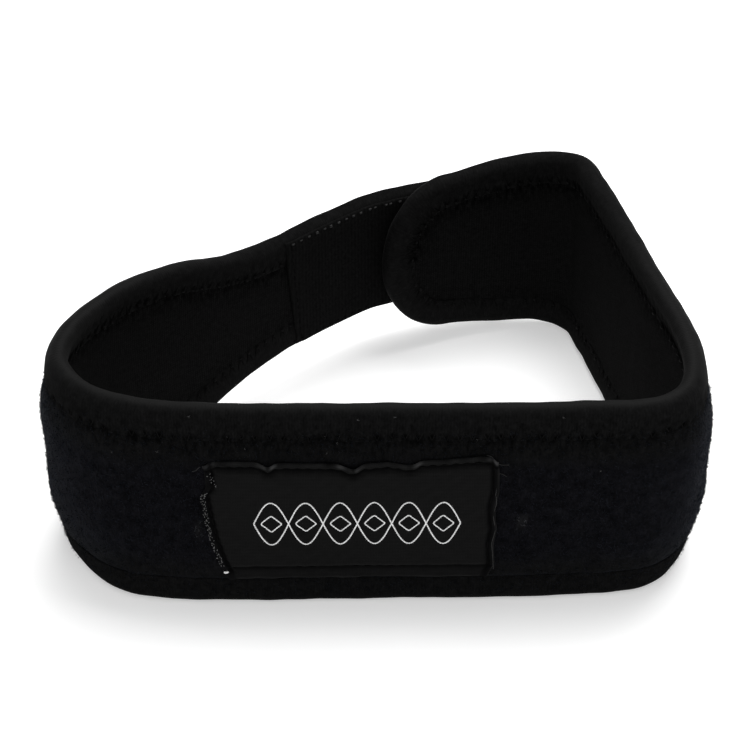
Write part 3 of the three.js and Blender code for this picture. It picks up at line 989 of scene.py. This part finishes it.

# %% [markdown]
# ## Lint and loose ends
# A black strap shows every speck: a few pale fibres cling to its front, and ends of thread have
# worked loose at the label. They are the same threads, laid one by one where they show, because
# scattering would put most of them elsewhere.

# %% Lay the lint
LINT = ((196.0, 19.0), (182, 15), (173.6, 13.8), (199.6, 16.4), (216, 15.4), (215.6, 19),
        (218, 17.4), (263.6, 23.4), (222.4, 23.2), (229.8, 23.6), (188.5, 23.6), (246.5, 18.2),
        (271.6, 10.6))
chance = random_from(41)
spots = np.repeat(np.array(LINT), 3, axis=0)
steps = random_steps(chance, len(spots), 0.12, 0.32)
s, h = (spots + chance.normal(0, 0.08, spots.shape)).T
e = np.maximum(half_at(s) - np.abs(h), 0.1)
round_edge = np.sqrt(np.maximum(TAPE_RADIUS**2 - (TAPE_RADIUS - e) ** 2, 0.01))
depth = np.where(e < TAPE_RADIUS, TAPE_MIDDLE + round_edge, outer_face(s, h)) + 0.12
ups = outwards(s, h, depth)
lint = sew_over("lint", PILE_LOOP, s, h, steps, depth, ups, 0.08, 0.1)

# %% Lay the loose threads of the label
# Each thread: places across and up the label, and how far it lies off the pile.
LOOSE = (
    ((-32.0, -31.2, -30.6, -29.4, -28.6), (12.9, 13.2, 14.0, 14.4, 15.1), 0.5),
    ((27.6, 28.6, 29.4, 29.9, 30.8, 32.2), (16.9, 16.6, 15.6, 14.8, 14.5, 14.7), 0.5),
    ((30.0, 30.7, 31.8), (12.4, 12.3, 11.6), 0.5),
    ((29.8, 29.6, 29.9, 29.2, 29.5, 29.8, 29.1, 29.4, 29.7),
     (9.6, 7.6, 5.4, 2.4, 0.6, -1.6, -5.0, -7.8, -12.2), 1.35),
)
ends = []
for k, (x, y, off) in enumerate(LOOSE):
    t = np.linspace(0, len(x) - 1, 60)
    x, y = (np.interp(t, np.arange(len(v)), v) for v in (x, y))
    line = (LABEL_MIDDLE + x, LABEL_DROP + y, PILE_TOP + off + 0.12 * swells(x, y, 3, 50 + k))
    ends.append(seam(f"loose_thread_{k}", *line, 0.5, -0.04, 0.17, rise=0.04))

# %% [markdown]
# ## Finishes of the strap
# Everything is black, each cloth in its own way: a ribbed tape with a soft shine on its fold, a
# bluish pile, a dull knitted lining, a tight hook weave and a satin label. Black cloth hardly
# shines, so the colours are very dark and the gloss is almost nil. Dents, crumples and the label's
# groove are darkened as painted shade, and the tape's inside leg and the label's lip are lightened
# as painted light.

# %% The tape: ribs across it, painted shade in the dents, crumples and back of the fold, painted light inside
f = tape_finish = Finish("ribbed_tape", 0.6, 0.02, sheen=0.012, sheen_roughness=0.4)
ribs, streaks, worn_and_shaded = f.ribs("X", 0.52, 4.0), f.streaks(2.4, 0.9), f.read("wear_and_painted_shade")
yarns = f.plus(f.times(ribs, 0.1), f.times(streaks, 0.9))
patched = f.times(yarns, f.noise(650, 5, 0.7))
mottle = f.spread(patched, 0.08, 0.46)
outside = f.between(mottle, 0.0022, (0.0094, 0.0094, 0.0096))
# Painted light: the inside leg takes a lighter colour than the outside.
dull = f.between(f.read("inside"), outside, f.between(mottle, 0.0038, 0.0112))
# The fold's wear colour, faded at the back and near the narrow run as painted shade.
cloth = f.between(worn_and_shaded, dull, f.between(mottle, 0.0028, 0.0078))
# Painted shade: dark specks where the sewing crumples the tape, and darkening in its dents.
f.colour(f.painted_shade_where(f.crumple_shaded(cloth, 0.0014), "dent", 0.2, 1.25))
f.rough(patched, 0.5, 0.9)
# Its shine follows the same mask, so the painted shade dims the highlight there too.
f.shine(f.times(worn_and_shaded, 0.05))
f.relief(f.plus(f.times(ribs, 0.15), streaks), 0.12, 0.8)

# %% The pile: dull and bluish
TINT_CLOTH, TINT_LOOPS = (0.62, 0.73, 1), (0.55, 0.7, 1)
f = pile_finish = Finish("loop_pile_cloth", 0.95, 0.02, 0.03, 0.35, TINT_CLOTH)
patches, fibres = f.noise(420, 5, 0.65), f.streaks(2.2, 0.9)
tangle = f.times(patches, fibres)
bluish = f.between(f.spread(tangle, 0.12, 0.42), (0.0008, 0.0008, 0.001), (0.0072, 0.0072, 0.009))
neutral = f.between(tangle, 0.002, (0.015, 0.015, 0.0152))
# Painted shade: dark specks where the sewing crumples the pile.
cloth = f.crumple_shaded(f.between(f.read("near"), bluish, neutral), 0.001)
cloth = f.between(f.times(f.read("rubbed"), fibres), cloth, (0.014, 0.014, 0.0145))
# Painted shade in the dents of the pile.
f.colour(f.painted_shade_where(cloth, "dent", 0.15, 1.2, 0.0008))
f.rough(patches, 0.85, 1.0)
f.relief(f.plus(fibres, patches), 0.35, 0.9)

f = loop_finish = Finish("pile_loop_yarn", 0.9, 0.02, 0.05, 0.45, TINT_LOOPS)
shade = f.times(f.math("POWER", f.read("yarn"), 1.3), f.spread(f.noise(300, 3), 0.25, 0.65))
bluish = f.between(shade, (0.0008, 0.0008, 0.001), (0.019, 0.019, 0.0245))
neutral = f.between(shade, 0.0015, (0.013, 0.013, 0.0132))
# Painted shade: dark specks on the loops near the sewing.
yarn = f.crumple_shaded(f.between(f.read("near"), bluish, neutral), 0.001, by_cut=False)
f.colour(f.between(f.times(f.read("rubbed"), shade), yarn, 0.2))
f.rough(f.read("yarn"), 0.75, 1.0)

# %% Lining and hook cloth
f = lining_finish = Finish("lining_knit", 0.9, 0.004, sheen=0.004)
knit, fuzz = f.times(f.ribs("X", 0.5, 1.2), f.ribs("Y", 0.62, 1.2)), f.noise(1300, 4, 0.7)
mottle = f.spread(f.plus(f.times(knit, 0.3), f.times(fuzz, 0.7)), 0.25, 0.65)
# Painted shade: dark specks where the sewing crumples the lining.
cloth = f.crumple_shaded(f.between(mottle, 0.0025, 0.0098), 0.0012, 0.42, 0.6)
# Painted shade in the dents of the lining.
f.colour(f.painted_shade_where(cloth, "dent", 0.2, 1.3))
f.rough(fuzz, 0.8, 0.98)
f.relief(f.plus(f.times(knit, 0.5), fuzz), 0.15, 0.8)

f = hook_finish = Finish("hook_weave", 0.85, 0.004, sheen=0.004)
fuzz = f.noise(1300, 3, 0.7)
weave = f.plus(f.times(f.ribs("X", 0.3, 0.8), 0.15), f.times(fuzz, 0.85))
f.colour(f.between(f.spread(weave, 0.2, 0.8), 0.0022, 0.0092))
f.rough(fuzz, 0.7, 0.95)
f.relief(weave, 0.08, 0.6)

# %% The label's satin, painted highlights on the lip and painted shade in the groove
f = label_finish = Finish("label_satin", 0.6, 0.03, sheen=0.01)
patches = f.noise(160, 3)
satin = f.plus(f.times(f.ribs("X", 0.95, 0.5), 0.7), f.times(f.ribs("Y", 0.35, 3.0), 0.3))
border = f.between(patches, (0.0022, 0.0022, 0.0023), (0.0062, 0.0062, 0.0066))
cloth = f.between(f.read("satin"), border, f.between(f.times(satin, patches), 0.0026, 0.0078))
# Painted highlight: the lip's fold turns pale grey.
folded = f.between(f.read("fold"), cloth, (0.055, 0.055, 0.056))
f.colour(f.painted_shade_where(folded, "shade", 0.15, 1.1))
f.rough(patches, 0.5, 0.75)
f.shine(f.times(f.read("satin"), 0.03))
f.relief(satin, 0.06, 0.6)

# %% The foam, and dress the cloths
f = foam_finish = Finish("foam_rubber", 0.9, 0.1)
cells = f.add("TexVoronoi", Vector=f.place, Scale=1800.0).outputs["Distance"]
f.colour(f.between(cells, 0.008, 0.02))
f.rough(cells, 0.8, 1.0)
f.relief(cells, 0.1, 0.5)

dress(tape, tape_finish, "edge_tape")
dress(pile, pile_finish, "loop_pile_face")
dress(lining, lining_finish, "knitted_lining")
dress(hook, hook_finish, "hook_patch")
dress(label, label_finish, "woven_label")
for loops in (loops_a, loops_b):
    dress(loops, loop_finish)
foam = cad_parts["foam_sheet"]
foam.data.materials.clear()
foam.data.materials.append(foam_finish.material)

# %% The threads, each with what is sewn with it
# name: (darkest grey, lightest grey, shine, roughness, the pieces in each slot)
THREADS = {
    "tape_thread": (0.0025, 0.008, 0.005, 0.9, {"tape": [zigzag_outside, zigzag_inside]}),
    "knot_thread": (0.001, 0.013, 0.02, 0.55, {"tape": [knots_inside]}),
    "hook_thread": (0.0035, 0.0085, 0.004, 0.9, {"hook_cloth": [hooks]}),
    "black_thread": (0.002, 0.006, 0.01, 0.85, {"hook_cloth": [hook_low, hook_end],
                                                "label": [label_seam, label_low_seam]}),
    "grey_thread": (0.008, 0.032, 0.15, 0.55, {"hook_cloth": [hook_edge], "label": ends}),
    "pale_thread": (0.006, 0.24, 0.1, 0.55, {"label": [pale]}),
    "white_thread": (0.7, 0.95, 0.3, 0.55, {"label": [pale_end, pattern]}),
    "lint_fibre": (0.01, 0.12, 0.05, 0.55, {"loop_pile": [lint]}),
}
for name, (dark, light, shine, roughness, sewn) in THREADS.items():
    f = Finish(name, roughness, shine)
    twist = f.noise(3000, 2)
    f.colour(f.between(f.times(f.plus(f.read("yarn"), twist), 0.5), dark, light))
    f.rough(twist, roughness - 0.1, roughness + 0.15)
    f.relief(twist, 0.05, 0.6)
    for slot, pieces in sewn.items():
        for piece in pieces:
            dress(piece, f)
print(len(bpy.data.materials), "finishes")

# %% [markdown]
# ## The size of each flat cut
# The size of each cloth's flat cut is taken from the cut itself and printed.

def flat_cut(cloth):
    """Width, length and area of the cut that the UV map keeps, in metres."""
    uv = np.zeros(len(cloth.data.loops) * 2, np.float32)
    cloth.data.uv_layers["cut"].data.foreach_get("uv", uv)
    uv = uv.reshape(-1, 2) / 1000
    length, width = uv.max(axis=0) - uv.min(axis=0)
    corners = uv.reshape(-1, 4, 2)
    one, two = corners[:, 2] - corners[:, 0], corners[:, 3] - corners[:, 1]
    area = np.abs(one[:, 0] * two[:, 1] - one[:, 1] * two[:, 0]).sum() / 4
    print(f"{cloth.name}: cut {width * 1000:.1f} by {length * 1000:.1f} mm, {area * 1e4:.1f} cm2")
    return (float(width), float(length)), float(min(area, width * length))


for cloth, held, under, carried in (
    (tape, "folded", ["foam_sheet"], [zigzag_outside, zigzag_inside, knots_inside]),
    (pile, "laid", ["foam_sheet"], [loops_a, loops_b, lint]),
    (lining, "laid", ["foam_sheet"], []),
    (hook, "laid", [lining], [hooks, hook_edge, hook_low, hook_end]),
    (label, "laid", [pile], [label_seam, label_low_seam, pattern, pale, pale_end, *ends]),
):
    flat, area = flat_cut(cloth)

# %% [markdown]
# ## Floor and light
# The strap is photographed on white that stays white right up to it, as on a light table, so the
# floor is pale and glows a little. A large soft light above and behind draws the pale rims, and a
# weak one in front opens the dark cloth.

# %% Floor and light
FLOOR_GLOW, SURROUNDING = 0.4, 0.38
WHITE = (1, 1, 1, 1)

bpy.ops.mesh.primitive_plane_add(size=6)
floor = bpy.context.object
floor.name = "floor"
f = Finish("pale_floor", 0.9, 0.1)
f.colour(f.between(f.noise(30), 0.86, 0.9))
f.rough(f.noise(8), 0.85, 0.95)
f.set(Emission_Color=WHITE, Emission_Strength=FLOOR_GLOW)
floor.data.materials.append(f.material)

world = bpy.data.worlds.new("studio")
bpy.context.scene.world = world
world.use_nodes = True
background = world.node_tree.nodes["Background"]
background.inputs["Color"].default_value = WHITE
background.inputs["Strength"].default_value = SURROUNDING
bpy.context.scene.view_settings.view_transform = "Standard"


def softbox(name, place, size, watts):
    bpy.ops.object.light_add(type="AREA", location=place)
    lamp = bpy.context.object
    lamp.name = name
    lamp.data.size = size
    lamp.data.energy = watts
    lamp.rotation_euler = (LOOK_AT - lamp.location).to_track_quat("-Z", "Y").to_euler()


softbox("overhead_light", (0.16, 0.38, 1.02), 0.8, 14)
softbox("front_light", (0.1, -0.8, 0.9), 0.8, 2)
